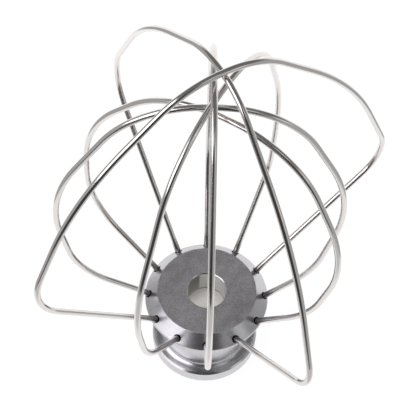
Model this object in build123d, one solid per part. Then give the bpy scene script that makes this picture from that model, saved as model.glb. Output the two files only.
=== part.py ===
from build123d import *
import os
from dataclasses import astuple, dataclass
from math import cos, radians, sin, tan

# Wire whisk for a stand mixer, in millimetres. It stands on the drive end of its
# hub with the wires upwards, the axis along Z and the base face at Z = 0.

# Hub, one turned piece: base rim, cove, tapered collar, neck, flange, and the cone that takes the wires
hub_height = 30.0
base_diameter = 34.8
base_rim_height = 4.2
rim_chamfer = 0.55
cove_height = 0.9
cove_radius = 3.5
collar_height = 0.8
collar_step = 0.25
neck_diameter = 28.3
underside_fillet = 4.0
flange_diameter = 40.0
flange_rim_height = 1.0
cone_width = 4.0
edge_break = 0.3

# Round pocket in the face between the wires
pocket_diameter = 12.6
pocket_depth = 9.0
pocket_floor_fillet = 0.4
pocket_mouth_chamfer = 0.3

# Drive bore in the base, with a bayonet slot that a cross pin in the shaft enters and turns in
shaft_diameter = 12.7
shaft_clearance = 0.1
bore_mouth_chamfer = 0.6
web_thickness = 3.0
pin_diameter = 4.0
pin_clearance = 0.3
pin_stand = 3.2
pin_height = 9.5
pin_turn = 40.0

# Wires, and the stepped blind holes that hold their ends square to the cone
wire_diameter = 2.0
hole_edge_distance = 1.2
seat_clearance = 0.05
seat_depth = 6.5
mouth_clearance = 0.3
mouth_depth = 1.2
heel_length = 2.0
heel_bend = 6.0

# Middle line of the topmost loop above the hub's face, at the axis
crown_height = 116.3

# Shape of each side of the two outer loops
outer_shoulder_reach = 64.0
outer_shoulder_height = 37.0
outer_shoulder_bend = 18.0
outer_brow_reach = 45.0
outer_brow_drop = 31.0
outer_crown_reach = 10.5

# Shape of each side of the four inner loops
inner_shoulder_reach = 39.0
inner_shoulder_height = 17.0
inner_shoulder_bend = 36.0
inner_brow_reach = 45.0
inner_brow_drop = 46.0
inner_crown_reach = 21.0

# A bend with no radius of its own takes this share of the shorter run beside it
corner_share = 0.47

# A corner that turns by fewer degrees than this is straight
straight_turn = 0.5


@dataclass
class Side:
    """One side of a loop, by the corners of its path from the hub up.

    A reach is from the axis, the shoulder's height is above the hub's face, and the
    brow's drop is below the loop's own crown.
    """

    shoulder_reach: float
    shoulder_height: float
    shoulder_bend: float
    brow_reach: float
    brow_drop: float
    crown_reach: float

    def __add__(self, other):
        return Side(*(size + change for size, change in zip(astuple(self), astuple(other))))


@dataclass
class Loop:
    """One bent wire, in a plane through the axis, whose crown passes under the loop before it.

    The wires are bent by hand, so each side departs a little from the shape that the loop has.
    """

    name: str
    shape: Side
    bearing: float
    crown_gap: float
    lean: float
    ahead_departs: Side
    behind_departs: Side


outer = Side(
    outer_shoulder_reach,
    outer_shoulder_height,
    outer_shoulder_bend,
    outer_brow_reach,
    outer_brow_drop,
    outer_crown_reach,
)
inner = Side(
    inner_shoulder_reach,
    inner_shoulder_height,
    inner_shoulder_bend,
    inner_brow_reach,
    inner_brow_drop,
    inner_crown_reach,
)

# The loops from the topmost crown down
loops = [
    Loop("wire_loop_1", outer, bearing=30.0, crown_gap=0.0, lean=0.0,
         ahead_departs=Side(1.5, -2.0, -2.0, 2.0, 2.5, 2.5),
         behind_departs=Side(-1.5, 4.0, 3.5, 0.5, -1.0, 0.0)),
    Loop("wire_loop_2", outer, bearing=-60.0, crown_gap=0.1, lean=1.0,
         ahead_departs=Side(-4.0, -6.5, -3.0, -1.5, 4.5, -4.0),
         behind_departs=Side(2.0, 6.0, 3.5, 0.0, -6.0, 0.5)),
    Loop("wire_loop_3", inner, bearing=90.0, crown_gap=0.1, lean=0.6,
         ahead_departs=Side(2.0, 4.5, 4.0, -1.0, -5.0, -8.0),
         behind_departs=Side(3.0, 4.0, 4.0, 0.0, -5.5, -8.0)),
    Loop("wire_loop_4", inner, bearing=60.0, crown_gap=4.0, lean=0.0,
         ahead_departs=Side(0.5, 6.5, -18.5, -2.5, 2.5, 4.5),
         behind_departs=Side(-1.5, -3.0, -3.0, 0.5, 10.0, 1.5)),
    Loop("wire_loop_5", inner, bearing=0.0, crown_gap=3.1, lean=0.0,
         ahead_departs=Side(-5.5, -3.5, 1.5, -2.0, 0.5, -0.5),
         behind_departs=Side(2.5, -5.0, 0.0, 5.0, 2.5, 1.5)),
    Loop("wire_loop_6", inner, bearing=-30.0, crown_gap=1.3, lean=0.0,
         ahead_departs=Side(-2.5, 0.0, 10.5, 1.0, -3.5, 4.5),
         behind_departs=Side(5.5, 2.0, -1.0, 0.0, -8.5, -5.0)),
]

base_radius = base_diameter / 2
neck_radius = neck_diameter / 2
collar_radius = neck_radius + collar_step
flange_radius = flange_diameter / 2
face_radius = flange_radius - cone_width
pocket_radius = pocket_diameter / 2
shaft_radius = shaft_diameter / 2
bore_radius = shaft_radius + shaft_clearance
bore_depth = hub_height - pocket_depth - web_thickness
slot_width = pin_diameter + 2 * pin_clearance
slot_reach = shaft_radius + pin_stand + pin_clearance
wire_radius = wire_diameter / 2
seat_radius = wire_radius + seat_clearance
mouth_radius = wire_radius + mouth_clearance

# The cone is turned at 45 degrees: it is as high as it is wide, and the holes square to it rise at
# 45 degrees. The flange's underside slopes as they do, so that the metal below them stays even.
cone_height = cone_width
hole_rise = 45.0
hole_count = 2 * len(loops)
hole_mouth_reach = flange_radius - hole_edge_distance
hole_mouth_height = hub_height - cone_height + hole_edge_distance

upwards = (Align.CENTER, Align.CENTER, Align.MIN)
downwards = (Align.CENTER, Align.CENTER, Align.MAX)


def on_hole_axis(distance, way=1):
    """Point on a hole's axis at a distance out from the cone, as reach from the hub's axis and height."""
    reach = hole_mouth_reach + distance * cos(radians(hole_rise))
    height = hole_mouth_height + distance * sin(radians(hole_rise))
    return way * reach, height


def hub_profile():
    """Half section of the hub's outside, from the axis round to the axis again."""
    cove_base = base_rim_height + rim_chamfer
    collar_base = cove_base + cove_height
    collar_top = collar_base + collar_height
    cone_base = hub_height - cone_height
    flange_base = cone_base - flange_rim_height
    overhang = flange_radius - edge_break - neck_radius
    with BuildSketch(Plane.XZ) as section:
        with BuildLine():
            rim = Polyline(
                (0, 0),
                (base_radius - edge_break, 0),
                (base_radius, edge_break),
                (base_radius, base_rim_height),
                (base_radius - rim_chamfer, cove_base),
            )
            cove = RadiusArc(rim @ 1, (collar_radius, collar_base), cove_radius)
            collar = Line(cove @ 1, (neck_radius, collar_top))
            neck = FilletPolyline(
                collar @ 1,
                (neck_radius, flange_base - overhang),
                (flange_radius - edge_break, flange_base),
                radius=min(underside_fillet, overhang),
            )
            Polyline(
                neck @ 1,
                (flange_radius, flange_base + edge_break),
                (flange_radius, cone_base),
                (face_radius, hub_height),
                (0, hub_height),
                (0, 0),
            )
        make_face()
    return section.sketch


def pocket():
    """Round pocket in the face, rounded at its floor and bevelled at its mouth."""
    body = Pos(0, 0, hub_height) * Cylinder(pocket_radius, pocket_depth, align=downwards)
    body = fillet(body.edges().sort_by(Axis.Z)[0], pocket_floor_fillet)
    wide_radius = pocket_radius + pocket_mouth_chamfer
    bevel = Cone(pocket_radius, wide_radius, pocket_mouth_chamfer, align=downwards)
    return body + Pos(0, 0, hub_height) * bevel


def drive_bore():
    """Bore for the mixer's shaft, with the slot that its pin rises in and the channel that it turns in."""
    bore = Cylinder(bore_radius, bore_depth, align=upwards)
    bevel = Cone(bore_radius + bore_mouth_chamfer, bore_radius, bore_mouth_chamfer, align=upwards)
    slot_top = pin_height + slot_width / 2
    slot = Box(slot_reach, slot_width, slot_top, align=(Align.MIN, Align.CENTER, Align.MIN))
    section = Pos(slot_reach / 2, 0, pin_height) * Plane.XZ * Rectangle(slot_reach, slot_width)
    channel = revolve(section, Axis.Z, pin_turn)
    stop = Box(slot_reach, slot_width, slot_width, align=(Align.MIN, Align.CENTER, Align.CENTER))
    return bore + bevel + slot + channel + Rot(0, 0, pin_turn) * Pos(0, 0, pin_height) * stop


def wire_holes():
    """The ring of stepped blind holes, square to the cone."""
    seat = Pos(0, 0, -seat_depth) * Cylinder(seat_radius, seat_depth + mouth_depth, align=upwards)
    mouth = Pos(0, 0, -mouth_depth) * Cylinder(mouth_radius, 2 * mouth_depth, align=upwards)
    reach, height = on_hole_axis(0)
    hole = Pos(reach, 0, height) * Rot(0, 90 - hole_rise, 0)
    holes = []
    for index in range(hole_count):
        turn = Rot(0, 0, index * 360 / hole_count)
        holes += [turn * hole * seat, turn * hole * mouth]
    return holes


def build_hub():
    """The turned hub with its pocket, drive bore and ring of wire holes."""
    body = revolve(hub_profile(), Axis.Z)
    return body - [pocket(), drive_bore(), *wire_holes()]


def in_plane(reach, height, lean=0.0):
    """A point of a loop's plane in space before the turn to its bearing, leaning about the hub's face."""
    above_face = height - hub_height
    return Vector(reach, above_face * sin(radians(lean)), hub_height + above_face * cos(radians(lean)))


def corners(side, way, crown, lean):
    """Corner points of one side of a loop from the hub up: its shoulder, its brow and its crown."""
    return [
        in_plane(way * side.shoulder_reach, hub_height + side.shoulder_height, lean),
        in_plane(way * side.brow_reach, hub_height + crown - side.brow_drop, lean),
        in_plane(way * side.crown_reach, hub_height + crown, lean),
    ]


def turn_at(before, corner, after):
    """Angle in degrees by which a path changes direction at a corner."""
    return (corner - before).get_angle(after - corner)


def bend_at(before, corner, after, asked):
    """Bend radius at a corner: as asked, or as large as the set share of the shorter run allows."""
    shorter = min((corner - before).length, (after - corner).length)
    limit = corner_share * shorter / tan(radians(turn_at(before, corner, after)) / 2)
    return limit if asked is None else min(asked, limit)


def loop_path(loop, crown):
    """Middle line of a loop: straight runs and tangent arcs from one hole over the crown to the other."""
    floors = [in_plane(*on_hole_axis(-seat_depth, way)) for way in (-1, 1)]
    mouths = [in_plane(*on_hole_axis(0, way)) for way in (-1, 1)]
    heels = [in_plane(*on_hole_axis(heel_length, way)) for way in (-1, 1)]
    behind = loop.shape + loop.behind_departs
    ahead = loop.shape + loop.ahead_departs
    rising = corners(behind, -1, crown, loop.lean)
    falling = corners(ahead, 1, crown, loop.lean)[::-1]
    stations = [mouths[0], heels[0], *rising, *falling, heels[1], mouths[1]]
    asked = [heel_bend, behind.shoulder_bend, None, None, None, None, ahead.shoulder_bend, heel_bend]
    points = []
    bends = []
    for before, corner, after, radius in zip(stations, stations[1:], stations[2:], asked):
        if turn_at(before, corner, after) > straight_turn:
            points.append(corner)
            bends.append(bend_at(before, corner, after, radius))
    return FilletPolyline(floors[0], *points, floors[1], radius=bends)


def build_loop(loop, crown):
    """One round wire along its path, turned to its bearing."""
    path = loop_path(loop, crown)
    section = Plane(path @ 0, z_dir=path % 0) * Circle(wire_radius)
    return Rot(0, 0, loop.bearing) * sweep(section, path=path)


def main():
    os.makedirs("parts", exist_ok=True)
    export_step(build_hub(), "parts/hub.step")
    crown = crown_height
    for index, loop in enumerate(loops):
        if index > 0:
            crown -= wire_diameter + loop.crown_gap
        export_step(build_loop(loop, crown), f"parts/{loop.name}.step")


main()
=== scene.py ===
from math import atan2, cos, hypot, pi, radians, sin, tan
from typing import NamedTuple

import bpy
from bpy.props import FloatProperty, FloatVectorProperty, IntProperty, PointerProperty
from bpy.types import Operator, Panel, PropertyGroup
from mathutils import Matrix, Vector


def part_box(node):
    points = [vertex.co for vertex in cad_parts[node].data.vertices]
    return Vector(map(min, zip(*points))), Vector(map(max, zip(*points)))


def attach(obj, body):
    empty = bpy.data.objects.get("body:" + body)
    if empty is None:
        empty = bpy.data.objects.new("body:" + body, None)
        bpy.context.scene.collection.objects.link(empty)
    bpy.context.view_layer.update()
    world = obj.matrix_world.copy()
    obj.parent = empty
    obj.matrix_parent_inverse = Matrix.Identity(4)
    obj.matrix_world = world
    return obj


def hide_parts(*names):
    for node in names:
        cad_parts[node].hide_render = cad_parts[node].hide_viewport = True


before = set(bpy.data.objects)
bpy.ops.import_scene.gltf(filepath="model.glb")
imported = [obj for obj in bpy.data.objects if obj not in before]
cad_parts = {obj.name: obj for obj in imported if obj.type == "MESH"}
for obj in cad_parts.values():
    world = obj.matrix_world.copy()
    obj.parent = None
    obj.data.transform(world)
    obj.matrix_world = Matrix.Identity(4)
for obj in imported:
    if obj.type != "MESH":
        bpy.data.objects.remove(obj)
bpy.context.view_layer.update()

bl_info = {
    "name": "Stand mixer wire whisk",
    "version": (1, 0, 0),
    "blender": (4, 5, 0),
    "location": "3D View > Sidebar > Whisk",
    "description": "Drawn steel loops and a turned aluminium hub, on a white studio floor",
    "category": "Object",
}

# Sizes are written in millimetres, and the scene is in metres
MM = 0.001

# Height and width of the hub in millimetres, from the frame
HUB_LOW, HUB_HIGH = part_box("hub")
HUB_HEIGHT = (HUB_HIGH[2] - HUB_LOW[2]) / MM
HUB_WIDTH = (HUB_HIGH[0] - HUB_LOW[0]) / MM


# Bent wires

class Side(NamedTuple):
    """One side of a loop.

    Reaches are taken from the axis, the shoulder's height from the hub's face and the brow's drop
    from the crown.
    """

    shoulder_reach: float
    shoulder_height: float
    shoulder_bend: float
    brow_reach: float
    brow_drop: float
    crown_reach: float


class Loop(NamedTuple):
    """One hand-bent wire from a hole in the hub over its crown to the hole opposite.

    Its bearing and lean are in degrees, and its crown's height is taken from the hub's face.
    """

    node: str
    bearing: float
    crown: float
    lean: float
    ahead: Side
    behind: Side


LOOPS = [
    Loop("wire_loop_1", 30.0, 116.3, 0.0,
         ahead=Side(65.5, 35.0, 16.0, 47.0, 33.5, 13.0),
         behind=Side(62.5, 41.0, 21.5, 45.5, 30.0, 10.5)),
    Loop("wire_loop_2", -60.0, 114.2, 1.0,
         ahead=Side(60.0, 30.5, 15.0, 43.5, 35.5, 6.5),
         behind=Side(66.0, 43.0, 21.5, 45.0, 25.0, 11.0)),
    Loop("wire_loop_3", 90.0, 112.1, 0.6,
         ahead=Side(41.0, 21.5, 40.0, 44.0, 41.0, 13.0),
         behind=Side(42.0, 21.0, 40.0, 45.0, 40.5, 13.0)),
    Loop("wire_loop_4", 60.0, 106.1, 0.0,
         ahead=Side(39.5, 23.5, 17.5, 42.5, 48.5, 25.5),
         behind=Side(37.5, 14.0, 33.0, 45.5, 56.0, 22.5)),
    Loop("wire_loop_5", 0.0, 101.0, 0.0,
         ahead=Side(33.5, 13.5, 37.5, 43.0, 46.5, 20.5),
         behind=Side(41.5, 12.0, 36.0, 50.0, 48.5, 22.5)),
    Loop("wire_loop_6", -30.0, 97.7, 0.0,
         ahead=Side(36.5, 17.0, 46.5, 46.0, 42.5, 25.5),
         behind=Side(44.5, 19.0, 35.0, 45.0, 37.5, 16.0)),
]

# A bend with no radius of its own takes this share of the shorter run beside it
CORNER_SHARE = 0.47

# A corner that turns by less than this is straight
STRAIGHT_TURN = radians(0.5)

# The cone and the underside of the flange slope by this, and the holes lie square to the cone
SLOPE = pi / 4

# Points along the fillets, the cove and the pin's channel, and faces round a drill
FILLET_POINTS = 8
COVE_POINTS = 10
CHANNEL_POINTS = 12
DRILL_SIDES = 32

# A run of the hub's profile is long from this many fine edges on
LONG_RUN = 4

# Points of the turned sheet that lie closer than this are one
WELD = 0.001 * MM

# Edges of the hub that turn by more than this are shaded sharp
SHARP_ANGLE = radians(32)

# Zones of the hub, each with its own finish
BASE, FACE, CONE, POCKET, WIRE_HOLE = range(5)


def length(name, description, millimetres):
    """A size in the panel, written in millimetres."""
    return FloatProperty(name=name, description=description, default=millimetres * MM,
                         min=0.0, precision=5, unit="LENGTH", subtype="DISTANCE")


def share(name, description, value):
    """A number from 0 to 1 in the panel."""
    return FloatProperty(name=name, description=description, default=value,
                         min=0.0, max=1.0, subtype="FACTOR")


def colour(name, description, value):
    """A colour in the panel."""
    return FloatVectorProperty(name=name, description=description, default=value, size=3,
                               min=0.0, max=1.0, subtype="COLOR")


def angle(name, description, degrees):
    """An angle in the panel, written in degrees."""
    return FloatProperty(name=name, description=description, default=radians(degrees),
                         unit="ROTATION", subtype="ANGLE")


def optic(name, description, millimetres):
    """A size of the camera's optics in the panel, kept in millimetres."""
    return FloatProperty(name=name, description=description, default=millimetres,
                         min=1.0, unit="CAMERA", subtype="DISTANCE_CAMERA")


class WireSizes(PropertyGroup):
    """Sizes of the wires and of the holes that hold them."""

    diameter: length("Wire diameter", "Diameter of the drawn wire", 2.0)
    hole_edge: length("Hole edge distance", "From the flange's edge in to a hole's middle", 1.2)
    polish: length("Polish", "What polishing takes off the wire's surface", 0.015)
    seat_clearance: length("Seat clearance", "Room round a wire in its hole", 0.05)
    seat_depth: length("Seat depth", "Depth of a hole below the cone", 6.5)
    mouth_clearance: length("Mouth clearance", "Room round a wire in the wider mouth of its hole", 0.3)
    mouth_depth: length("Mouth depth", "Depth of the wider mouth", 1.2)
    heel_length: length("Heel length", "Straight run of a wire out of its hole", 2.0)
    heel_bend: length("Heel bend", "Bend radius where a wire leaves the line of its hole", 6.0)
    sides: IntProperty(name="Sides", description="Faces round a wire", default=24, min=8)
    bend_points: IntProperty(name="Bend points", description="Points along each bend", default=28, min=4)


class HubSizes(PropertyGroup):
    """Sizes of the turned hub."""

    height: length("Height", "From the base face to the face with the pocket", HUB_HEIGHT)
    flange: length("Flange diameter", "Widest diameter, below the cone", HUB_WIDTH)
    flange_rim: length("Flange rim", "Height of the flange's upright rim", 1.0)
    cone_width: length("Cone width", "Width of the cone, which is as high as it is wide", 4.0)
    underside: length("Underside fillet", "Fillet between the neck and the flange's sloped underside", 4.0)
    neck: length("Neck diameter", "Diameter of the neck", 28.3)
    collar_step: length("Collar step", "How far the tapered collar widens below the neck", 0.25)
    collar_height: length("Collar height", "Height of the tapered collar", 0.8)
    cove_height: length("Cove height", "Height of the hollow below the collar", 0.9)
    cove_radius: length("Cove radius", "Radius of the hollow below the collar", 3.5)
    base: length("Base diameter", "Diameter of the base rim", 34.8)
    rim: length("Base rim", "Height of the base rim's wall", 4.2)
    rim_chamfer: length("Rim chamfer", "Chamfer round the top of the base rim", 0.55)
    edge: length("Edge break", "Size of the broken edges", 0.3)
    fine_edge: length("Fine edge", "Size of the rounded edges of the cone", 0.12)
    pocket: length("Pocket diameter", "Diameter of the pocket in the face", 12.6)
    pocket_depth: length("Pocket depth", "Depth of the pocket in the face", 9.0)
    pocket_fillet: length("Pocket fillet", "Fillet at the pocket's floor", 0.4)
    pocket_bevel: length("Pocket bevel", "Bevel at the pocket's mouth", 0.3)
    bore: length("Bore diameter", "Diameter of the drive bore in the base", 12.9)
    bore_bevel: length("Bore bevel", "Bevel at the bore's mouth", 0.6)
    web: length("Web", "Metal left between the bore and the pocket", 3.0)
    slot_width: length("Slot width", "Width of the slot for the shaft's pin", 4.6)
    slot_reach: length("Slot reach", "Reach of the slot from the axis", 9.85)
    pin_height: length("Pin height", "Height of the channel that the pin turns in", 9.5)
    pin_turn: angle("Pin turn", "How far the pin turns in its channel", 40.0)
    segments: IntProperty(name="Segments", description="Faces round the hub", default=240, min=48)


class Finish(PropertyGroup):
    """Colours and gloss of the two metals."""

    steel: colour("Steel", "Colour of the drawn stainless wire", (0.835, 0.805, 0.785))
    steel_roughness: share("Steel roughness", "Roughness of the polished wire", 0.16)
    aluminium: colour("Aluminium", "Colour of the turned hub", (0.74, 0.73, 0.755))
    face: colour("Face", "Colour of the hub's face", (0.75, 0.74, 0.77))
    stain: colour("Stain", "Colour of the clouds on the hub's face", (0.53, 0.495, 0.515))
    pocket: colour("Pocket", "Colour of the pale metal in the pocket", (0.92, 0.90, 0.88))
    # The dull band is painted shade: this colour paints shade down the pocket's wall and in its corner
    dull: colour("Dull band", "Colour of the dull band down the pocket's wall", (0.27, 0.26, 0.225))
    face_roughness: share("Face roughness", "Roughness of the matt face", 0.46)
    cone_roughness: share("Cone roughness", "Roughness of the satin cone", 0.3)
    base_roughness: share("Base roughness", "Roughness of the polished neck and base", 0.24)
    pocket_roughness: share("Pocket roughness", "Roughness of the pocket", 0.42)
    hole_roughness: share("Hole roughness", "Roughness of the dark wire holes", 0.6)


class Studio(PropertyGroup):
    """Floor and camera."""

    floor_width: length("Floor width", "Width of the floor", 240.0)
    floor_back: length("Floor back", "From the whisk's axis to the back edge of the floor", 1500.0)
    floor_front: length("Floor front", "From the whisk's axis to the front edge of the floor", 170.0)
    elevation: angle("Elevation", "Camera's angle above the horizon", 57.19)
    azimuth: angle("Azimuth", "Camera's turn about the upright axis", -2.49)
    roll: angle("Roll", "Camera's roll", 3.1)
    distance: length("Distance", "From the camera to the point that it looks at", 558.6)
    aim: FloatVectorProperty(name="Aim", description="Point that the camera looks at", size=3,
                             default=(-1.06 * MM, 0.05 * MM, 79.24 * MM),
                             subtype="TRANSLATION", unit="LENGTH")
    lens: optic("Lens", "Focal length", 160.06)
    sensor: optic("Sensor", "Width of the sensor", 36.0)


class Whisk(PropertyGroup):
    """All the settings of the whisk."""

    wire: PointerProperty(type=WireSizes, name="Wires", description="Sizes of the wires")
    hub: PointerProperty(type=HubSizes, name="Hub", description="Sizes of the hub")
    finish: PointerProperty(type=Finish, name="Finish", description="Colours and gloss")
    studio: PointerProperty(type=Studio, name="Studio", description="Floor and camera")


# Node trees

class Tree:
    """A node tree with short calls to add nodes and feed their sockets."""

    def __init__(self, tree):
        self.tree = tree

    def add(self, kind, inputs=None, **settings):
        """A node with its settings, and each input linked or set to a value."""
        node = self.tree.nodes.new(kind)
        for name, value in settings.items():
            setattr(node, name, value)
        for key, value in (inputs or {}).items():
            self.feed(node.inputs[key], value)
        return node

    def feed(self, socket, value):
        """Links a socket to a node or to another socket, or sets its value."""
        if isinstance(value, bpy.types.NodeSocket):
            self.tree.links.new(value, socket)
        elif isinstance(value, bpy.types.Node):
            self.tree.links.new(value.outputs[0], socket)
        else:
            socket.default_value = value

    def math(self, operation, *values):
        """The result of a Math node."""
        return self.add("ShaderNodeMath", dict(enumerate(values)), operation=operation).outputs[0]

    def vector(self, operation, *values):
        """The result of a Vector Math node."""
        return self.add("ShaderNodeVectorMath", dict(enumerate(values)), operation=operation).outputs[0]

    def measure(self, operation, *values):
        """The number that a Vector Math node gives."""
        node = self.add("ShaderNodeVectorMath", dict(enumerate(values)), operation=operation)
        return node.outputs["Value"]

    def noise(self, place, scale, detail, roughness=0.5):
        """The value of a noise at a place."""
        inputs = {"Vector": place, "Scale": scale, "Detail": detail, "Roughness": roughness}
        return self.add("ShaderNodeTexNoise", inputs).outputs[0]

    def blend(self, low, high, value):
        """A value taken smoothly from a range to 0 and 1."""
        inputs = {"Value": value, "From Min": low, "From Max": high}
        return self.add("ShaderNodeMapRange", inputs, interpolation_type="SMOOTHSTEP").outputs[0]

    def between(self, factor, first, second):
        """A number between two others."""
        inputs = {"Factor": factor, "A": first, "B": second}
        return self.add("ShaderNodeMix", inputs, data_type="FLOAT").outputs[0]

    def tone(self, factor, first, second):
        """A colour between two others, on the sockets that a Mix node keeps for colours."""
        inputs = {0: factor, 6: first, 7: second}
        return self.add("ShaderNodeMix", inputs, data_type="RGBA").outputs[2]


def geometry_tree(name, inputs):
    """A geometry tree with a geometry input and output and the named inputs given."""
    group = bpy.data.node_groups.new(name, "GeometryNodeTree")
    group.interface.new_socket("Geometry", in_out="INPUT", socket_type="NodeSocketGeometry")
    for label, kind in inputs:
        group.interface.new_socket(label, in_out="INPUT", socket_type=kind)
    group.interface.new_socket("Geometry", in_out="OUTPUT", socket_type="NodeSocketGeometry")
    tree = Tree(group)
    return tree, tree.add("NodeGroupInput").outputs, tree.add("NodeGroupOutput").inputs


def run_tree(piece, tree, values):
    """Runs a geometry tree on a piece and leaves it a plain mesh."""
    modifier = piece.modifiers.new(tree.tree.name, "NODES")
    modifier.node_group = tree.tree
    for item in tree.tree.interface.items_tree:
        if item.in_out == "INPUT" and item.name in values:
            modifier[item.identifier] = values[item.name]
    make_plain(piece)


def make_plain(piece):
    """Turns what a piece's modifiers make into its own mesh."""
    bpy.context.view_layer.update()
    depsgraph = bpy.context.evaluated_depsgraph_get()
    made = bpy.data.meshes.new_from_object(
        piece.evaluated_get(depsgraph), preserve_all_data_layers=True, depsgraph=depsgraph)
    if not made.polygons:
        raise RuntimeError(piece.name + " has no faces")
    before = piece.data
    piece.modifiers.clear()
    piece.data = made
    made.name = piece.name
    bpy.data.meshes.remove(before)


def new_piece(name, points, edges=(), faces=()):
    """A mesh object in the scene, at the origin."""
    mesh = bpy.data.meshes.new(name)
    mesh.from_pydata([tuple(p) for p in points], edges, faces)
    piece = bpy.data.objects.new(name, mesh)
    bpy.context.scene.collection.objects.link(piece)
    return piece


def finish_piece(piece, node):
    """Puts a finished piece in the place of its node."""
    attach(piece, "root")
    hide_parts(node)


# Wires

def bent_wire_tree():
    """Round wire along a route whose corners are rounded by the radius that each point carries."""
    tree, given, result = geometry_tree("bent wire", [
        ("Wire Radius", "NodeSocketFloat"),
        ("Sides", "NodeSocketInt"),
        ("Bend Points", "NodeSocketInt"),
        ("Material", "NodeSocketMaterial"),
    ])
    bend = tree.add("GeometryNodeInputNamedAttribute", {"Name": "bend"}, data_type="FLOAT")
    route = tree.add("GeometryNodeMeshToCurve", {"Mesh": given["Geometry"]})
    bent = tree.add("GeometryNodeFilletCurve", {
        "Curve": route, "Count": given["Bend Points"], "Radius": bend.outputs["Attribute"],
    }, mode="POLY")
    run = tree.add("GeometryNodeSplineParameter").outputs["Length"]
    along = tree.add("GeometryNodeStoreNamedAttribute", {
        "Geometry": bent, "Name": "along", "Value": run,
    }, data_type="FLOAT", domain="POINT")
    ring = tree.add("GeometryNodeCurvePrimitiveCircle", {
        "Resolution": given["Sides"], "Radius": given["Wire Radius"],
    }, mode="RADIUS")
    place = tree.add("GeometryNodeInputPosition").outputs["Position"]
    around = tree.add("GeometryNodeStoreNamedAttribute", {
        "Geometry": ring, "Name": "around", "Value": place,
    }, data_type="FLOAT_VECTOR", domain="POINT")
    wire = tree.add("GeometryNodeCurveToMesh", {
        "Curve": along, "Profile Curve": around, "Fill Caps": True,
    })
    smooth = tree.add("GeometryNodeSetShadeSmooth", {"Geometry": wire})
    real = tree.add("GeometryNodeRealizeInstances", {"Geometry": smooth})
    painted = tree.add("GeometryNodeSetMaterial", {"Geometry": real, "Material": given["Material"]})
    tree.feed(result["Geometry"], painted)
    return tree


def on_hole_axis(wire, hub, distance, way):
    """Point on a hole's axis at a distance out from the cone, in a loop's own plane."""
    reach = hub.flange / 2 - wire.hole_edge + distance * cos(SLOPE)
    height = hub.height - hub.cone_width + wire.hole_edge + distance * sin(SLOPE)
    return Vector((way * reach, 0, height))


def leaning(reach, above, lean, hub):
    """Point in a loop's plane at a height above the hub's face, leaning about that face."""
    return Vector((reach * MM, above * MM * sin(lean), hub.height + above * MM * cos(lean)))


def corners(side, way, loop, hub):
    """Shoulder, brow and crown of one side of a loop."""
    lean = radians(loop.lean)
    return [
        leaning(way * side.shoulder_reach, side.shoulder_height, lean, hub),
        leaning(way * side.brow_reach, loop.crown - side.brow_drop, lean, hub),
        leaning(way * side.crown_reach, loop.crown, lean, hub),
    ]


def loop_route(loop, wire, hub):
    """Corner points of a loop from hole floor to hole floor, and the bend radius at each."""
    floors, mouths, heels = ([on_hole_axis(wire, hub, distance, way) for way in (-1, 1)]
                             for distance in (-wire.seat_depth, 0, wire.heel_length))
    rising = corners(loop.behind, -1, loop, hub)
    falling = corners(loop.ahead, 1, loop, hub)[::-1]
    stations = [mouths[0], heels[0], *rising, *falling, heels[1], mouths[1]]
    asked = [wire.heel_bend, loop.behind.shoulder_bend * MM, None, None,
             None, None, loop.ahead.shoulder_bend * MM, wire.heel_bend]
    points = [floors[0]]
    bends = [0.0]
    for before, corner, after, radius in zip(stations, stations[1:], stations[2:], asked):
        turn = (corner - before).angle(after - corner)
        if turn > STRAIGHT_TURN:
            shorter = min((corner - before).length, (after - corner).length)
            limit = CORNER_SHARE * shorter / tan(turn / 2)
            points.append(corner)
            bends.append(limit if radius is None else min(radius, limit))
    return points + [floors[1]], bends + [0.0]


class WHISK_OT_wires(Operator):
    """Bend the six wire loops and set their ends in the hub's holes"""

    bl_idname = "whisk.wires"
    bl_label = "Wire loops"

    def execute(self, context):
        whisk = context.scene.whisk
        steel = drawn_steel(whisk.finish, whisk.hub)
        tree = bent_wire_tree()
        for loop in LOOPS:
            points, bends = loop_route(loop, whisk.wire, whisk.hub)
            turn = Matrix.Rotation(radians(loop.bearing), 3, "Z")
            piece = new_piece("bent_" + loop.node, [turn @ p for p in points],
                              edges=[(i, i + 1) for i in range(len(points) - 1)])
            bend = piece.data.attributes.new("bend", "FLOAT", "POINT")
            bend.data.foreach_set("value", bends)
            run_tree(piece, tree, {
                "Wire Radius": whisk.wire.diameter / 2 - whisk.wire.polish,
                "Sides": whisk.wire.sides,
                "Bend Points": whisk.wire.bend_points,
                "Material": steel,
            })
            finish_piece(piece, loop.node)
        return {"FINISHED"}


# Hub

def arc(start, end, radius, steps):
    """Points after start along an arc to end, with its centre on the left of the way there."""
    start, end = Vector(start), Vector(end)
    way = end - start
    square = Vector((-way.y, way.x)).normalized()
    rise = (radius ** 2 - way.length_squared / 4) ** 0.5
    centre = (start + end) / 2 + square * rise
    first = start - centre
    sweep = first.angle_signed(end - centre)
    return [centre + Matrix.Rotation(-sweep * i / steps, 2) @ first for i in range(1, steps + 1)]


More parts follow.
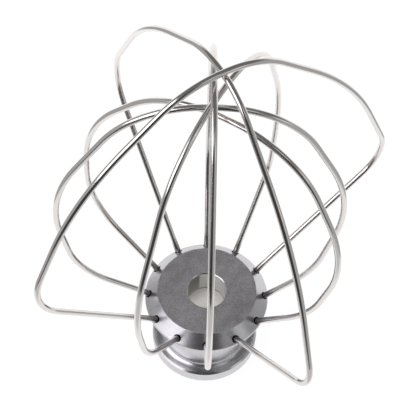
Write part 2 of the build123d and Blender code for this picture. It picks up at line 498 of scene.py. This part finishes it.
def turned_profile(hub):
    """Half section of the hub as reach and height, from the pocket's floor round into the bore."""
    pocket = hub.pocket / 2
    floor = hub.height - hub.pocket_depth
    face = hub.flange / 2 - hub.cone_width
    flange = hub.flange / 2
    cone_foot = hub.height - hub.cone_width
    flange_foot = cone_foot - hub.flange_rim
    neck = hub.neck / 2
    collar = neck + hub.collar_step
    base = hub.base / 2
    bore = hub.bore / 2
    cove_foot = hub.rim + hub.rim_chamfer
    cove_top = cove_foot + hub.cove_height
    collar_top = cove_top + hub.collar_height
    bore_top = floor - hub.web
    slant = hub.fine_edge * cos(SLOPE)
    edge = hub.edge

    points = [(0, floor), (pocket - hub.pocket_fillet, floor)]
    points += arc(points[-1], (pocket, floor + hub.pocket_fillet), hub.pocket_fillet, FILLET_POINTS)
    points += [(pocket, hub.height - hub.pocket_bevel), (pocket + hub.pocket_bevel, hub.height)]
    points += [(face - hub.fine_edge, hub.height), (face + slant, hub.height - slant)]
    points += [(flange - slant, cone_foot + slant), (flange, cone_foot - hub.fine_edge)]
    points += [(flange, flange_foot + edge), (flange - edge, flange_foot)]
    overhang = flange - edge - neck
    tangent = hub.underside * tan(SLOPE / 2)
    slope_foot = flange_foot - overhang + tangent * sin(SLOPE)
    points += [(neck + tangent * cos(SLOPE), slope_foot)]
    slope_end = flange_foot - overhang - tangent
    points += arc(points[-1], (neck, slope_end), hub.underside, FILLET_POINTS)
    points += [(neck, collar_top), (collar, cove_top)]
    points += arc(points[-1], (base - hub.rim_chamfer, cove_foot), hub.cove_radius, COVE_POINTS)
    points += [(base, hub.rim), (base, edge), (base - edge, 0)]
    points += [(bore + hub.bore_bevel, 0), (bore, hub.bore_bevel), (bore, bore_top), (0, bore_top)]
    return with_supports(points, hub.fine_edge)


def with_supports(points, margin):
    """The profile with a point just inside each end of its long runs, which keeps shading to the edges."""
    supported = [Vector(points[0])]
    for start, end in zip(points, points[1:]):
        start, end = Vector(start), Vector(end)
        way = end - start
        if way.length > LONG_RUN * margin:
            step = way.normalized() * margin
            supported += [start + step, end - step]
        supported.append(end)
    return supported


def turned_hub_tree():
    """A half section turned about the upright axis, with a ring of stepped holes cut into the cone."""
    tree, given, result = geometry_tree("turned hub", [
        ("Segments", "NodeSocketInt"),
        ("Hole Count", "NodeSocketInt"),
        ("Hole Place", "NodeSocketVector"),
        ("Hole Tilt", "NodeSocketVector"),
        ("Seat Radius", "NodeSocketFloat"),
        ("Seat Depth", "NodeSocketFloat"),
        ("Mouth Radius", "NodeSocketFloat"),
        ("Mouth Depth", "NodeSocketFloat"),
        ("Material", "NodeSocketMaterial"),
    ])
    profile = tree.add("GeometryNodeAttributeDomainSize", {"Geometry": given["Geometry"]})
    count = profile.outputs["Point Count"]
    index = tree.add("GeometryNodeInputIndex").outputs["Index"]
    sheet = tree.add("GeometryNodeMeshGrid", {
        "Vertices X": tree.math("ADD", given["Segments"], 1), "Vertices Y": count,
    })
    row = tree.math("FLOORED_MODULO", index, count)
    column = tree.math("FLOOR", tree.math("DIVIDE", index, count))
    place = tree.add("GeometryNodeSampleIndex", {
        "Geometry": given["Geometry"],
        "Value": tree.add("GeometryNodeInputPosition").outputs["Position"],
        "Index": row,
    }, data_type="FLOAT_VECTOR", domain="POINT").outputs[0]
    turn = tree.math("MULTIPLY", tree.math("DIVIDE", column, given["Segments"]), 2 * pi)
    turned = tree.add("ShaderNodeVectorRotate", {"Vector": place, "Angle": turn}, rotation_type="Z_AXIS")
    lathe = tree.add("GeometryNodeSetPosition", {"Geometry": sheet.outputs["Mesh"], "Position": turned})
    closed = tree.add("GeometryNodeMergeByDistance", {"Geometry": lathe, "Distance": WELD})

    points = tree.add("GeometryNodePoints", {"Count": given["Hole Count"]})
    bearing = tree.math("MULTIPLY", tree.math("DIVIDE", index, given["Hole Count"]), 2 * pi)
    spread = tree.add("ShaderNodeCombineXYZ", {"Z": bearing})

    def drilled(radius, below, above):
        """A ring of drill cuts that reach below and above the cone."""
        drill = tree.add("GeometryNodeMeshCylinder", {
            "Vertices": DRILL_SIDES, "Radius": radius, "Depth": tree.math("ADD", below, above),
        })
        middle = tree.math("MULTIPLY", tree.math("SUBTRACT", above, below), 0.5)
        level = tree.add("GeometryNodeTransform", {
            "Geometry": drill.outputs["Mesh"],
            "Translation": tree.add("ShaderNodeCombineXYZ", {"Z": middle}),
        })
        tilted = tree.add("GeometryNodeTransform", {
            "Geometry": level, "Translation": given["Hole Place"], "Rotation": given["Hole Tilt"],
        })
        ring = tree.add("GeometryNodeInstanceOnPoints", {
            "Points": points, "Instance": tilted, "Rotation": spread,
        })
        return tree.add("GeometryNodeRealizeInstances", {"Geometry": ring})

    cut = tree.add("GeometryNodeMeshBoolean", {"Mesh 1": closed}, operation="DIFFERENCE", solver="EXACT")
    for run in ("Seat", "Mouth"):
        ring_cut = drilled(given[run + " Radius"], given[run + " Depth"], given["Mouth Depth"])
        tree.feed(cut.inputs["Mesh 2"], ring_cut)
    real = tree.add("GeometryNodeRealizeInstances", {"Geometry": cut.outputs["Mesh"]})
    painted = tree.add("GeometryNodeSetMaterial", {"Geometry": real, "Material": given["Material"]})
    tree.feed(result["Geometry"], painted)
    return tree


def prism(name, outline, low, high):
    """An upright solid over a plan outline."""
    count = len(outline)
    points = [(x, y, z) for z in (low, high) for x, y in outline]
    pairs = [(i, (i + 1) % count) for i in range(count)]
    walls = [(i, after, after + count, i + count) for i, after in pairs]
    bottom = tuple(reversed(range(count)))
    top = tuple(range(count, 2 * count))
    return new_piece(name, points, faces=[bottom, top, *walls])


def cut_bayonet(piece, hub):
    """Cuts the slot that the shaft's pin rises in, and the channel that it turns in, beside the bore."""
    half = hub.slot_width / 2
    reach = hub.slot_reach
    slot = [(0, -half), (reach, -half), (reach, half), (0, half)]
    end = Matrix.Rotation(hub.pin_turn, 2)
    turns = [hub.pin_turn * i / CHANNEL_POINTS for i in range(CHANNEL_POINTS + 1)]
    sweep = [Matrix.Rotation(turn, 2) @ Vector((reach, 0)) for turn in turns]
    channel = [(0, -half), (reach, -half), *sweep, end @ Vector((reach, half)), end @ Vector((0, half))]
    cutters = [
        prism("slot_cut", slot, -hub.rim, hub.pin_height + half),
        prism("channel_cut", channel, hub.pin_height - half, hub.pin_height + half),
    ]
    for cutter in cutters:
        modifier = piece.modifiers.new(cutter.name, "BOOLEAN")
        modifier.operation = "DIFFERENCE"
        modifier.solver = "EXACT"
        modifier.object = cutter
    make_plain(piece)
    for cutter in cutters:
        bpy.data.meshes.remove(cutter.data)


def in_hole(point, hub, wire):
    """Whether a point of the hub's surface lies below the cone in one of the wire holes."""
    pitch = pi / len(LOOPS)
    turn = atan2(point.y, point.x)
    point = Matrix.Rotation(-pitch * round(turn / pitch), 3, "Z") @ point
    mouth = on_hole_axis(wire, hub, 0, 1)
    axis = on_hole_axis(wire, hub, 1, 1) - mouth
    depth = (mouth - point).dot(axis)
    aside = (point - mouth).cross(axis).length
    return depth > hub.fine_edge and aside < wire.diameter / 2 + wire.mouth_clearance + hub.fine_edge


def zone_of(face, hub, wire):
    """Which zone a face of the hub lies in."""
    reach = hypot(face.center.x, face.center.y)
    height = face.center.z
    floor = hub.height - hub.pocket_depth
    if in_hole(face.center, hub, wire):
        return WIRE_HOLE
    if reach < hub.pocket / 2 + hub.pocket_bevel and height > floor - hub.web / 2:
        return BASE if height > hub.height - hub.pocket_bevel else POCKET
    if height > hub.height - hub.fine_edge / 2:
        return FACE
    if height > hub.height - hub.cone_width - hub.flange_rim and reach > hub.pocket:
        return CONE
    return BASE


class WHISK_OT_hub(Operator):
    """Turn the hub, drill its ring of wire holes and cut its bayonet slot"""

    bl_idname = "whisk.hub"
    bl_label = "Turned hub"

    def execute(self, context):
        whisk = context.scene.whisk
        hub = whisk.hub
        wire = whisk.wire
        profile = turned_profile(hub)
        piece = new_piece("turned_hub", [(p.x, 0, p.y) for p in profile],
                          edges=[(i, i + 1) for i in range(len(profile) - 1)])
        finishes = hub_finishes(whisk.finish, hub)
        run_tree(piece, turned_hub_tree(), {
            "Segments": hub.segments,
            "Hole Count": 2 * len(LOOPS),
            "Hole Place": on_hole_axis(wire, hub, 0, 1),
            "Hole Tilt": (0, SLOPE, 0),
            "Seat Radius": wire.diameter / 2 + wire.seat_clearance,
            "Seat Depth": wire.seat_depth,
            "Mouth Radius": wire.diameter / 2 + wire.mouth_clearance,
            "Mouth Depth": wire.mouth_depth,
            "Material": finishes[BASE],
        })
        cut_bayonet(piece, hub)
        mesh = piece.data
        mesh.materials.clear()
        for material in finishes:
            mesh.materials.append(material)
        for face in mesh.polygons:
            face.material_index = zone_of(face, hub, wire)
        mesh.shade_smooth()
        mesh.set_sharp_from_angle(angle=SHARP_ANGLE)
        finish_piece(piece, "hub")
        return {"FINISHED"}


# Materials

# Wires carry a painted dark reflection of the hub at their feet, full up to one distance from the middle
# of the hub's face and faded out at another
FOOT_REACH = 19.0 * MM
FOOT_FADED = 22.5 * MM
PAINTED_FOOT_SHADE = 0.42

# Drawing lines to a metre, round a wire and along it, their depth, and the roughness they give and take
LINES_ROUND = 6000.0
LINES_ALONG = 40.0
LINE_DEPTH = 0.02 * MM
LINE_ROUGHNESS = 0.3

# Waves to a metre in the patterns on the hub, and how far its rings follow the slope of the cone
RINGS = 5000.0
MOTTLE = 700.0
CLOUDS = 260.0
GRAIN = 2400.0
RING_SLOPE = 0.7

# Part that the mottle has beside the rings, and the roughness that the two give and take
MOTTLE_SHARE = 0.4
TURNED_ROUGHNESS = 0.15

# Sums of cloud and grain between which the colour goes from clean to stained
STAIN_RANGE = (0.8, 1.2)

# Depths of fine and coarse turning grooves
FINE_GROOVE = 0.01 * MM
COARSE_GROOVE = 0.02 * MM

# Bearings between which the painted shade on the pocket's wall sets in and ends, in a band and a fainter
# stretch on its near side, and the depth of that fainter painted shade
BAND_START = (radians(108), radians(115))
BAND_END = (radians(170), radians(158))
NEAR_SIDE = (radians(55), radians(15))
PAINTED_NEAR_SIDE_SHADE = 0.45

# Heights above the pocket's floor where the painted shade on its wall has set in and is deepest, and of
# the painted dark line in its corner
WALL_SETS_IN = 1.0 * MM
WALL_DEEPEST = 7.0 * MM
PAINTED_WALL_FIRST_SHADE = 0.7
LINE_START = (0.02 * MM, 0.1 * MM)
LINE_END = (0.4 * MM, 0.25 * MM)
PAINTED_CORNER_SHADE = 0.7


def opaque(colour_value):
    """A colour with its alpha."""
    return (*colour_value, 1)


def metal(name, colour_value, roughness, anisotropy=0.0, metallic=1.0):
    """A metal whose shader has its plain values set."""
    material = bpy.data.materials.new(name)
    material.use_nodes = True
    shader = material.node_tree.nodes["Principled BSDF"].inputs
    shader["Base Color"].default_value = opaque(colour_value)
    shader["Metallic"].default_value = metallic
    shader["Roughness"].default_value = roughness
    shader["Anisotropic"].default_value = anisotropy
    return material, Tree(material.node_tree), shader


def drawn_steel(finish, hub):
    """Polished wire with the fine lengthwise lines that drawing leaves, and a painted dark reflection of
    the hub at its feet.
    """
    material, tree, shader = metal("drawn_steel", finish.steel, finish.steel_roughness)
    place = tree.add("ShaderNodeTexCoord").outputs["Object"]
    from_face = tree.measure("DISTANCE", place, (0, 0, hub.height))
    # Painted dark reflection of the hub, darkening the steel at the wire's feet
    painted_foot_shade = tree.blend(FOOT_FADED, FOOT_REACH, from_face)
    steel = Vector(finish.steel)
    tree.feed(shader["Base Color"], tree.tone(painted_foot_shade, opaque(steel), opaque(PAINTED_FOOT_SHADE * steel)))
    along = tree.add("ShaderNodeAttribute", attribute_name="along").outputs["Fac"]
    around = tree.add("ShaderNodeAttribute", attribute_name="around").outputs["Vector"]
    fine = tree.add("ShaderNodeVectorMath", {0: around, "Scale": LINES_ROUND}, operation="SCALE")
    stretched = tree.add("ShaderNodeCombineXYZ", {"Z": tree.math("MULTIPLY", along, LINES_ALONG)})
    lines = tree.noise(tree.vector("ADD", fine, stretched), scale=1.0, detail=3.0)
    rough = tree.add("ShaderNodeMapRange", {
        "Value": lines,
        "To Min": (1 - LINE_ROUGHNESS) * finish.steel_roughness,
        "To Max": (1 + LINE_ROUGHNESS) * finish.steel_roughness,
    })
    tree.feed(shader["Roughness"], rough)
    bump = tree.add("ShaderNodeBump", {"Height": lines, "Strength": 0.05, "Distance": LINE_DEPTH})
    tree.feed(shader["Normal"], bump)
    return material


def turned_aluminium(name, clean, stained, roughness, anisotropy, groove, metallic=1.0):
    """Aluminium with clouded colour and the rings that turning leaves, and a tangent across them."""
    material, tree, shader = metal(name, clean, roughness, anisotropy, metallic)
    place = tree.add("ShaderNodeTexCoord").outputs["Object"]
    axes = tree.add("ShaderNodeSeparateXYZ", {"Vector": place}).outputs
    flat = tree.add("ShaderNodeCombineXYZ", {"X": axes["X"], "Y": axes["Y"]}).outputs[0]
    reach = tree.measure("LENGTH", flat)
    across = tree.math("SUBTRACT", reach, tree.math("MULTIPLY", axes["Z"], RING_SLOPE))
    rings = tree.add("ShaderNodeTexNoise", {
        "W": tree.math("MULTIPLY", across, RINGS), "Scale": 1.0, "Detail": 2.0,
    }, noise_dimensions="1D").outputs[0]
    mottle = tree.noise(place, scale=MOTTLE, detail=3.0)
    clouds = tree.noise(place, scale=CLOUDS, detail=4.0, roughness=0.8)
    grain = tree.noise(place, scale=GRAIN, detail=1.0)
    spots = tree.blend(*STAIN_RANGE, tree.math("ADD", clouds, grain))
    tree.feed(shader["Base Color"], tree.tone(spots, opaque(clean), opaque(stained)))
    uneven = tree.between(MOTTLE_SHARE, rings, mottle)
    rough = tree.add("ShaderNodeMapRange", {
        "Value": uneven, "From Min": 0.3, "From Max": 0.7,
        "To Min": (1 - TURNED_ROUGHNESS) * roughness, "To Max": (1 + TURNED_ROUGHNESS) * roughness,
    })
    tree.feed(shader["Roughness"], rough)
    bump = tree.add("ShaderNodeBump", {"Height": uneven, "Strength": 0.15, "Distance": groove})
    tree.feed(shader["Normal"], bump)
    round_axis = tree.vector("CROSS_PRODUCT", (0, 0, 1), flat)
    normal = tree.add("ShaderNodeNewGeometry").outputs["Normal"]
    tree.feed(shader["Tangent"], tree.vector("CROSS_PRODUCT", normal, round_axis))
    return material


def pocket_metal(finish, hub):
    """Pale metal of the pocket, with painted shade in a band down part of its wall and in a thin dark line
    in its corner.
    """
    pale = Vector(finish.pocket)
    material = turned_aluminium("pale_pocket", pale, 0.92 * pale, finish.pocket_roughness,
                                anisotropy=0.3, groove=COARSE_GROOVE, metallic=0.15)
    tree = Tree(material.node_tree)
    base = material.node_tree.nodes["Principled BSDF"].inputs["Base Color"]
    place = tree.add("ShaderNodeTexCoord").outputs["Object"]
    axes = tree.add("ShaderNodeSeparateXYZ", {"Vector": place}).outputs
    bearing = tree.math("ARCTAN2", axes["Y"], axes["X"])
    # Painted shade on the pocket: a band and a fainter near-side stretch down the wall, rising from the
    # floor, and a dark line in the corner
    band = tree.math("MULTIPLY", tree.blend(*BAND_START, bearing), tree.blend(*BAND_END, bearing))
    painted_near_side_shade = tree.math("MULTIPLY", tree.blend(*NEAR_SIDE, bearing), PAINTED_NEAR_SIDE_SHADE)
    above = tree.math("SUBTRACT", axes["Z"], hub.height - hub.pocket_depth)
    deepening = tree.between(tree.blend(0.0, WALL_DEEPEST, above), PAINTED_WALL_FIRST_SHADE, 1.0)
    wall = tree.math("MULTIPLY", tree.blend(0.0, WALL_SETS_IN, above), deepening)
    painted_wall_shade = tree.math("MULTIPLY", tree.math("MAXIMUM", band, painted_near_side_shade), wall)
    line = tree.math("MULTIPLY", tree.blend(*LINE_START, above), tree.blend(*LINE_END, above))
    painted_pocket_shade = tree.math("MAXIMUM", painted_wall_shade, tree.math("MULTIPLY", line, PAINTED_CORNER_SHADE))
    tree.feed(base, tree.tone(painted_pocket_shade, base.links[0].from_socket, opaque(finish.dull)))
    return material


def hub_finishes(finish, hub):
    """The hub's finishes in the order of its zones: base, face, cone, pocket and wire hole, the last two
    with painted shade.
    """
    clean = Vector(finish.aluminium)
    return [
        turned_aluminium("polished_base", clean, 0.94 * clean, finish.base_roughness,
                         anisotropy=0.7, groove=FINE_GROOVE),
        turned_aluminium("matt_face", finish.face, finish.stain, finish.face_roughness,
                         anisotropy=0.4, groove=COARSE_GROOVE, metallic=0.9),
        turned_aluminium("satin_cone", clean, 0.92 * clean, finish.cone_roughness,
                         anisotropy=0.8, groove=FINE_GROOVE),
        pocket_metal(finish, hub),
        # Painted shade inside the wire holes: their metal is coloured dark
        turned_aluminium("painted_shade_hole", 0.3 * clean, 0.15 * clean, finish.hole_roughness,
                         anisotropy=0.0, groove=COARSE_GROOVE),
    ]


# Stage

# Level directions of the white side of the room, behind the whisk, and of its dim and dark parts in front
WHITE_WAY = (0.21, 0.98, 0)
DIM_WAY = (0.03, -1.0, 0)
DARK_WAY = (-0.22, -0.97, 0)

# How closely a direction has to be followed for that part to set in and to be full
WHITE_SPREAD = (0.61, 0.72)
DIM_SPREAD = (0.62, 0.74)
DARK_SPREAD = (0.74, 0.84)

# Rises, from 0 at the horizon to 1 overhead, between which a part of the room sets in or ends
WHITE_TOP = (0.30, 0.12)
DIM_FOOT = (0.1, 0.35)
FRONT_TOP = (0.9, 0.7)
CEILING_FOOT = (0.22, 0.5)

# Brightness of the room's walls, its ceiling and its dim and dark parts, as the metal mirrors them
WALLS = 0.4
CEILING = 0.15
DIM_PART = 0.24
DARK_PART = 0.045

# Brightness of the floor to the camera, and as the metal mirrors it behind, in front and further out
FLOOR_SEEN = 0.92
FLOOR_BEHIND = 0.92
FLOOR_IN_FRONT = 0.8
FLOOR_FURTHER_OUT = 0.45

# Places along the floor, from the whisk's axis to the back, between which that brightness changes
FRONT_TO_BEHIND = (-20 * MM, 70 * MM)
FRONT_TO_FURTHER_OUT = (-50 * MM, -85 * MM)

# Greys of the floor's paper under the lamps, and of the part of it that shows the whisk's shadow
PAPER = 0.9
SHADOWED_PAPER = 0.16

# Point that the lamps face, in metres
LAMP_AIM = (0, 0, 0.06)


class Lamp(NamedTuple):
    """A soft lamp, with its place and sides in metres and its power in watts."""

    name: str
    place: tuple
    width: float
    height: float
    power: float
    aim: tuple = LAMP_AIM
    tint: tuple = (1.0, 1.0, 1.0)
    mirrored: bool = True


LAMPS = [
    Lamp("left_softbox", (-0.77, -0.41, 0.72), 1.05, 0.85, 5.0, tint=(0.98, 0.96, 1.0)),
    Lamp("upper_right_lamp", (0.41, -0.46, 0.79), 0.3, 0.3, 0.15),
    Lamp("right_lamp", (0.78, -0.48, 0.42), 0.3, 0.3, 0.16),
    Lamp("top_fill", (0, 0.2, 1.3), 1.0, 1.0, 9.0, aim=(0, 0, 0), mirrored=False),
]


def grey(level):
    """A grey with its alpha."""
    return (level, level, level, 1)


def white_floor(studio):
    """A white sheet that the whisk stands on, which keeps its shadow and ends a little in front of it."""
    half = studio.floor_width / 2
    front = -studio.floor_front
    back = studio.floor_back
    outline = [(-half, front, 0), (half, front, 0), (half, back, 0), (-half, back, 0)]
    floor = new_piece("studio_floor", outline, faces=[(0, 1, 2, 3)])
    material = bpy.data.materials.new("white_floor")
    material.use_nodes = True
    tree = Tree(material.node_tree)
    material.node_tree.nodes.clear()
    path = tree.add("ShaderNodeLightPath").outputs
    seen = tree.math("MAXIMUM", path["Is Camera Ray"], path["Is Glossy Ray"])
    seen = tree.math("MAXIMUM", seen, path["Is Transmission Ray"])
    place = tree.add("ShaderNodeTexCoord").outputs["Object"]
    along = tree.add("ShaderNodeSeparateXYZ", {"Vector": place}).outputs["Y"]
    mirrored = tree.between(tree.blend(*FRONT_TO_BEHIND, along), FLOOR_IN_FRONT, FLOOR_BEHIND)
    mirrored = tree.between(tree.blend(*FRONT_TO_FURTHER_OUT, along), mirrored, FLOOR_FURTHER_OUT)
    strength = tree.between(path["Is Camera Ray"], mirrored, FLOOR_SEEN)
    plain = tree.add("ShaderNodeBsdfDiffuse", {"Color": grey(PAPER)})
    faint = tree.add("ShaderNodeBsdfDiffuse", {"Color": grey(SHADOWED_PAPER)})
    glow = tree.add("ShaderNodeEmission", {"Color": grey(1), "Strength": strength})
    lit = tree.add("ShaderNodeAddShader", {0: faint, 1: glow})
    mixed = tree.add("ShaderNodeMixShader", {0: seen, 1: plain, 2: lit})
    tree.add("ShaderNodeOutputMaterial", {"Surface": mixed})
    floor.data.materials.append(material)


def studio_world():
    """White to the camera, and to the metal white behind, with grey sides and ceiling and a dark front."""
    world = bpy.data.worlds.new("studio")
    world.use_nodes = True
    tree = Tree(world.node_tree)
    world.node_tree.nodes.clear()
    way = tree.add("ShaderNodeTexCoord").outputs["Generated"]
    axes = tree.add("ShaderNodeSeparateXYZ", {"Vector": way}).outputs
    rise = axes["Z"]
    flat = tree.add("ShaderNodeCombineXYZ", {"X": axes["X"], "Y": axes["Y"]})
    level_way = tree.vector("NORMALIZE", flat)

    def towards(direction, spread):
        """How far a level direction is followed, from 0 where its part sets in to 1 where it is full."""
        return tree.blend(*spread, tree.measure("DOT_PRODUCT", level_way, direction))

    behind = tree.math("MULTIPLY", towards(WHITE_WAY, WHITE_SPREAD), tree.blend(*WHITE_TOP, rise))
    below_top = tree.blend(*FRONT_TOP, rise)
    upright = tree.math("MULTIPLY", below_top, tree.blend(*DIM_FOOT, rise))
    dim = tree.math("MULTIPLY", towards(DIM_WAY, DIM_SPREAD), upright)
    dark = tree.math("MULTIPLY", towards(DARK_WAY, DARK_SPREAD), below_top)
    room = tree.between(tree.blend(*CEILING_FOOT, rise), WALLS, CEILING)
    room = tree.between(dim, room, DIM_PART)
    room = tree.between(dark, room, DARK_PART)
    path = tree.add("ShaderNodeLightPath").outputs
    mirrored = tree.math("MAXIMUM", path["Is Glossy Ray"], path["Is Transmission Ray"])
    shown = tree.math("MAXIMUM", path["Is Camera Ray"], tree.math("MULTIPLY", mirrored, behind))
    dull = tree.add("ShaderNodeBackground", {"Color": grey(1), "Strength": room})
    white = tree.add("ShaderNodeBackground", {"Color": grey(1), "Strength": 1.0})
    mixed = tree.add("ShaderNodeMixShader", {0: shown, 1: dull, 2: white})
    tree.add("ShaderNodeOutputWorld", {"Surface": mixed})
    bpy.context.scene.world = world


def hang_lamp(lamp):
    """Puts up a soft lamp that faces its aim."""
    data = bpy.data.lights.new(lamp.name, "AREA")
    data.shape = "RECTANGLE"
    data.size = lamp.width
    data.size_y = lamp.height
    data.energy = lamp.power
    data.color = lamp.tint
    made = bpy.data.objects.new(lamp.name, data)
    made.location = lamp.place
    made.rotation_euler = (Vector(lamp.aim) - Vector(lamp.place)).to_track_quat("-Z", "Y").to_euler()
    made.visible_glossy = lamp.mirrored
    bpy.context.scene.collection.objects.link(made)


def photo_camera(studio):
    """The camera, at the photograph's angle."""
    data = bpy.data.cameras.new("camera")
    data.lens = studio.lens
    data.sensor_width = studio.sensor
    data.clip_start = 10 * MM
    camera = bpy.data.objects.new("camera", data)
    turn = Matrix.Rotation(studio.azimuth, 3, "Z")
    tilt = Matrix.Rotation(pi / 2 - studio.elevation, 3, "X")
    roll = Matrix.Rotation(studio.roll, 3, "Z")
    facing = turn @ tilt @ roll
    place = Vector(studio.aim) + facing @ Vector((0, 0, studio.distance))
    camera.matrix_world = Matrix.Translation(place) @ facing.to_4x4()
    bpy.context.scene.collection.objects.link(camera)
    bpy.context.scene.camera = camera


class WHISK_OT_stage(Operator):
    """Set up the white floor, the soft lamps and the camera"""

    bl_idname = "whisk.stage"
    bl_label = "Stage"

    def execute(self, context):
        studio = context.scene.whisk.studio
        white_floor(studio)
        studio_world()
        for lamp in LAMPS:
            hang_lamp(lamp)
        photo_camera(studio)
        context.scene.view_settings.view_transform = "Standard"
        return {"FINISHED"}


class WHISK_PT_panel(Panel):
    """Sidebar panel with the whisk's steps and settings"""

    bl_idname = "WHISK_PT_panel"
    bl_label = "Wire whisk"
    bl_space_type = "VIEW_3D"
    bl_region_type = "UI"
    bl_category = "Whisk"

    def draw(self, context):
        for operator in OPERATORS:
            self.layout.operator(operator.bl_idname)
        whisk = context.scene.whisk
        for group in (whisk.wire, whisk.hub, whisk.finish, whisk.studio):
            box = self.layout.box()
            for setting in type(group).__annotations__:
                box.prop(group, setting)


SETTINGS = (WireSizes, HubSizes, Finish, Studio, Whisk)
OPERATORS = (WHISK_OT_wires, WHISK_OT_hub, WHISK_OT_stage)
CLASSES = (*SETTINGS, *OPERATORS, WHISK_PT_panel)


def register():
    for cls in CLASSES:
        bpy.utils.register_class(cls)
    bpy.types.Scene.whisk = PointerProperty(type=Whisk)


def unregister():
    del bpy.types.Scene.whisk
    for cls in reversed(CLASSES):
        bpy.utils.unregister_class(cls)


def main():
    register()
    bpy.ops.whisk.wires()
    bpy.ops.whisk.hub()
    bpy.ops.whisk.stage()


if __name__ == "__main__":
    main()
